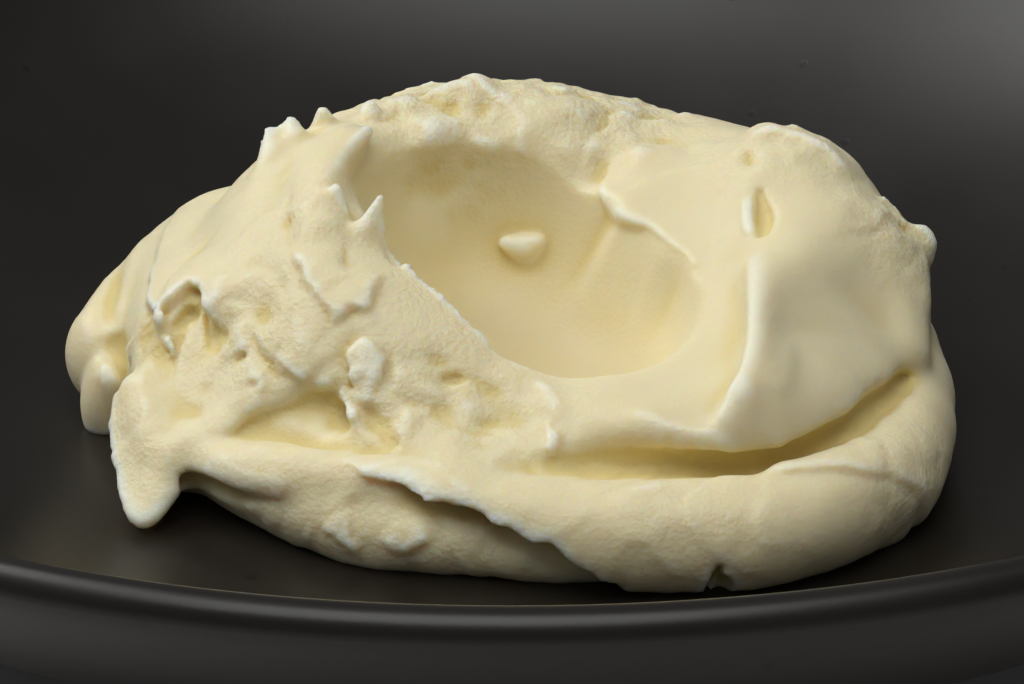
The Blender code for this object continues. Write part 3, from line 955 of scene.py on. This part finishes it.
def end_in(tree, geometry, material, out):
    """The tree's last nodes: real meshes with their material."""
    real = wire(tree, "GeometryNodeRealizeInstances", {"Geometry": geometry})
    done = wire(tree, "GeometryNodeSetMaterial", {"Geometry": real.outputs[0],
                                                  "Material": material})
    tree.links.new(done.outputs[0], out)


# ---------------------------------------------------------------- the bowl
def section(rim, height, floor_top):
    """The bowl's half section as Bezier points: (place, handle before, handle after)."""
    wall = 5 * MM
    edge = wall / 2
    shoulder = height - edge
    foot, foot_inside, recess, heel = 66 * MM, 57 * MM, 2.5 * MM, 1.5 * MM
    inside = rim - wall
    bulge = QUARTER_ROUND * edge
    return [((0, recess), None, None),
            ((foot_inside, recess), None, None),
            ((foot_inside + recess / 2, 0), None, None),
            ((foot - heel, 0), None, (foot - heel / 2, 0)),
            ((foot, heel), (foot, heel / 2), None),
            ((foot, 2 * MM), None, (rim - 37 * MM, floor_top + 4 * MM)),
            ((rim, shoulder), (rim - 7 * MM, floor_top + (shoulder - floor_top) * 0.53),
             (rim, shoulder + bulge)),
            ((rim - edge, height), (rim - edge + bulge, height), (rim - edge - bulge, height)),
            ((inside, shoulder), (inside, shoulder + bulge),
             (inside - 14 * MM, floor_top + (shoulder - floor_top) * 0.43)),
            ((60 * MM, floor_top), (76 * MM, floor_top), None),
            ((0, floor_top), None, None)]


def section_curve(points):
    """The half section as a curve in the XZ plane."""
    data = bpy.data.curves.new("bowl section", "CURVE")
    data.dimensions = "3D"
    data.resolution_u = 20
    spline = data.splines.new("BEZIER")
    spline.bezier_points.add(len(points) - 1)
    for target, (place, before, after) in zip(spline.bezier_points, points):
        target.handle_left_type = target.handle_right_type = "FREE"
        target.co = (place[0], 0, place[1])
        target.handle_left = target.co if before is None else (before[0], 0, before[1])
        target.handle_right = target.co if after is None else (after[0], 0, after[1])
    item = bpy.data.objects.new("bowl section", data)
    bpy.context.scene.collection.objects.link(item)
    return item


def wheel_tree():
    """Turns a half section round Z, as on a potter's wheel."""
    tree = bpy.data.node_groups.new("potters_wheel", "GeometryNodeTree")
    given, out = sockets(tree, (("Section", "NodeSocketGeometry"), ("Steps", "NodeSocketInt", 240),
                                ("Glaze", "NodeSocketMaterial")), (("Bowl", "NodeSocketGeometry"),))
    line = wire(tree, "GeometryNodeResampleCurve", {"Curve": given["Section"]}, mode="EVALUATED")
    count = wire(tree, "GeometryNodeAttributeDomainSize", {"Geometry": line.outputs[0]},
                 component="CURVE").outputs["Point Count"]
    across = maths(tree, "ADD", given["Steps"], 1.0)
    grid = wire(tree, "GeometryNodeMeshGrid", {"Vertices X": count, "Vertices Y": across})
    index = wire(tree, "GeometryNodeInputIndex").outputs[0]
    row = maths(tree, "FLOOR", maths(tree, "DIVIDE", index, across))
    angle = maths(tree, "MULTIPLY", maths(tree, "DIVIDE", maths(tree, "MODULO", index, across),
                                          given["Steps"]), math.tau)
    place = wire(tree, "GeometryNodeInputPosition").outputs[0]
    spot = wire(tree, "GeometryNodeSampleIndex", {"Geometry": line.outputs[0], "Value": place,
                                                  "Index": row},
                data_type="FLOAT_VECTOR", domain="POINT")
    parts = wire(tree, "ShaderNodeSeparateXYZ", {0: spot.outputs[0]}).outputs
    round_place = wire(tree, "ShaderNodeCombineXYZ",
                       {"X": maths(tree, "MULTIPLY", parts["X"], maths(tree, "COSINE", angle)),
                        "Y": maths(tree, "MULTIPLY", parts["X"], maths(tree, "SINE", angle)),
                        "Z": parts["Z"]}).outputs[0]
    turned_grid = wire(tree, "GeometryNodeSetPosition", {"Geometry": grid.outputs["Mesh"],
                                                         "Position": round_place})
    closed = wire(tree, "GeometryNodeMergeByDistance", {"Geometry": turned_grid.outputs[0],
                                                        "Distance": 0.01 * MM})
    smooth = wire(tree, "GeometryNodeSetShadeSmooth", {"Geometry": closed.outputs[0]})
    end_in(tree, smooth.outputs[0], given["Glaze"], out["Bowl"])
    return tree


def make_bowl():
    item = section_curve(section(RIM_RADIUS, RIM_HEIGHT, FLOOR_TOP))
    shape_by(item, wheel_tree(), {"Steps": 240, "Glaze": stoneware()})
    bowl = plain_mesh(item, "stoneware_bowl")
    bm = bmesh.new()
    bm.from_mesh(bowl.data)
    bmesh.ops.recalc_face_normals(bm, faces=bm.faces)
    bm.to_mesh(bowl.data)
    bm.free()
    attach(bowl, "root")
    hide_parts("bowl")
    return bowl


# ---------------------------------------------------------------- materials
def grain_group():
    """Fine grain shared by the mash and the glaze: a height and a slow colour variation."""
    tree = bpy.data.node_groups.new("fine_grain", "ShaderNodeTree")
    given, out = sockets(tree, (("Grain size", "NodeSocketFloat", 0.001),
                                ("Patch size", "NodeSocketFloat", 0.01),
                                ("Roughness", "NodeSocketFloat", 0.5)),
                         (("Height", "NodeSocketFloat"), ("Patches", "NodeSocketFloat")))
    place = wire(tree, "ShaderNodeTexCoord").outputs["Object"]
    for name, size, detail in (("Height", "Grain size", 4.0), ("Patches", "Patch size", 2.0)):
        noise = wire(tree, "ShaderNodeTexNoise",
                     {"Vector": place, "Scale": maths(tree, "DIVIDE", 1.0, given[size]),
                      "Detail": detail, "Roughness": given["Roughness"]})
        tree.links.new(noise.outputs["Fac"], out[name])
    return tree


def fine_grain(tree, grain_size, patch_size):
    """The shared grain at a material's own sizes."""
    return wire(tree, "ShaderNodeGroup", {"Grain size": grain_size, "Patch size": patch_size},
                node_tree=bpy.data.node_groups["fine_grain"]).outputs


def blend_colours(tree, factor, first, second):
    """The mix of two colours by a mask."""
    made = tree.nodes.new("ShaderNodeMix")
    made.data_type = "RGBA"
    for name, value in (("Factor", factor), ("A", first), ("B", second)):
        socket = [s for s in made.inputs if s.name == name
                  and s.type == ("VALUE" if name == "Factor" else "RGBA")][0]
        if isinstance(value, bpy.types.NodeSocket):
            tree.links.new(value, socket)
        else:
            socket.default_value = value
    return [s for s in made.outputs if s.type == "RGBA"][0]


def ramp(tree, value, low, high):
    """A smooth mask: 0 at low, 1 at high."""
    return wire(tree, "ShaderNodeMapRange", {"Value": value, "From Min": low, "From Max": high},
                interpolation_type="SMOOTHSTEP").outputs["Result"]


def bumped(tree, height, depth, strength):
    return wire(tree, "ShaderNodeBump", {"Height": height, "Distance": depth,
                                         "Strength": strength}).outputs["Normal"]


def new_material(name):
    made = bpy.data.materials.new(name)
    made.use_nodes = True
    return made.node_tree, made.node_tree.nodes["Principled BSDF"], made


def stoneware():
    """Matt black glaze with a fine tooth, slow patches and pin-sized pits."""
    tree, shader, made = new_material("black stoneware glaze")
    grain = fine_grain(tree, 0.5 * MM, 22 * MM)
    place = wire(tree, "ShaderNodeTexCoord").outputs["Object"]
    pits = wire(tree, "ShaderNodeTexVoronoi", {"Vector": place, "Scale": 90.0})
    pit = ramp(tree, pits.outputs["Distance"], 0.075, 0.04)
    colour = blend_colours(tree, grain["Patches"], (0.0088, 0.0070, 0.0050, 1),
                           (0.0145, 0.0118, 0.0086, 1))
    tree.links.new(blend_colours(tree, pit, colour, (0.006, 0.005, 0.005, 1)),
                   shader.inputs["Base Color"])
    rough = wire(tree, "ShaderNodeMapRange", {"Value": grain["Patches"], "To Min": 0.30,
                                              "To Max": 0.40})
    tree.links.new(rough.outputs["Result"], shader.inputs["Roughness"])
    height = maths(tree, "SUBTRACT", grain["Height"], maths(tree, "MULTIPLY", pit, 2.0))
    tree.links.new(bumped(tree, height, 0.03 * MM, 0.35), shader.inputs["Normal"])
    shader.inputs["Specular IOR Level"].default_value = 0.42
    return made


def mash_material():
    """Buttery mash with painted light and shade: paler on its thin edges as painted light, a deeper ochre
    in its hollows and low in the well as painted shade, with a moist sheen and a faint grain.
    """
    tree, shader, made = new_material("buttery mash")
    grain = fine_grain(tree, 0.7 * MM, 12 * MM)
    broad, fine, torn, well_shade = (wire(tree, "ShaderNodeAttribute", attribute_name=name).outputs["Fac"]
                                for name in ("broad_hollow", "fine_hollow", "torn", "well_shade"))
    body = blend_colours(tree, grain["Patches"], (0.84, 0.745, 0.465, 1),
                         (0.885, 0.80, 0.535, 1))
    # painted shade: the hollows get a deeper ochre colour that stands in for the shade and the yellow
    # light bounced about in them
    hollow = ramp(tree, maths(tree, "ADD", broad, maths(tree, "MULTIPLY", fine, 2.0)), 0.05, 0.9)
    with_painted_hollow_shade = blend_colours(tree, hollow, body, (0.80, 0.66, 0.29, 1))
    # painted light: thin convex edges get a paler, whiter colour that stands in for the light they catch
    edge = ramp(tree, fine, -0.10, -0.42)
    with_painted_edge_light = blend_colours(tree, edge, with_painted_hollow_shade, (0.92, 0.885, 0.72, 1))
    # painted shade: the low middle of the well is darkened
    tree.links.new(blend_colours(tree, well_shade, with_painted_edge_light, (0.74, 0.64, 0.385, 1)),
                   shader.inputs["Base Color"])
    rough = wire(tree, "ShaderNodeMapRange", {"Value": grain["Height"], "From Min": 0.3,
                                              "From Max": 0.7, "To Min": 0.33, "To Max": 0.52})
    tree.links.new(rough.outputs["Result"], shader.inputs["Roughness"])
    strength = wire(tree, "ShaderNodeMapRange", {"Value": torn, "To Min": 0.12, "To Max": 0.9})
    bump = wire(tree, "ShaderNodeBump", {"Height": grain["Height"], "Distance": 0.8 * MM,
                                         "Strength": strength.outputs["Result"]})
    tree.links.new(bump.outputs["Normal"], shader.inputs["Normal"])
    shader.inputs["Subsurface Weight"].default_value = 1.0
    shader.inputs["Subsurface Radius"].default_value = (1.0, 0.72, 0.32)
    shader.inputs["Subsurface Scale"].default_value = 2.1 * MM
    shader.inputs["IOR"].default_value = 1.4
    return made


# ---------------------------------------------------------------- build
make_camera()
light_studio()
make_floor()
grain_group()
make_bowl()
make_mash()
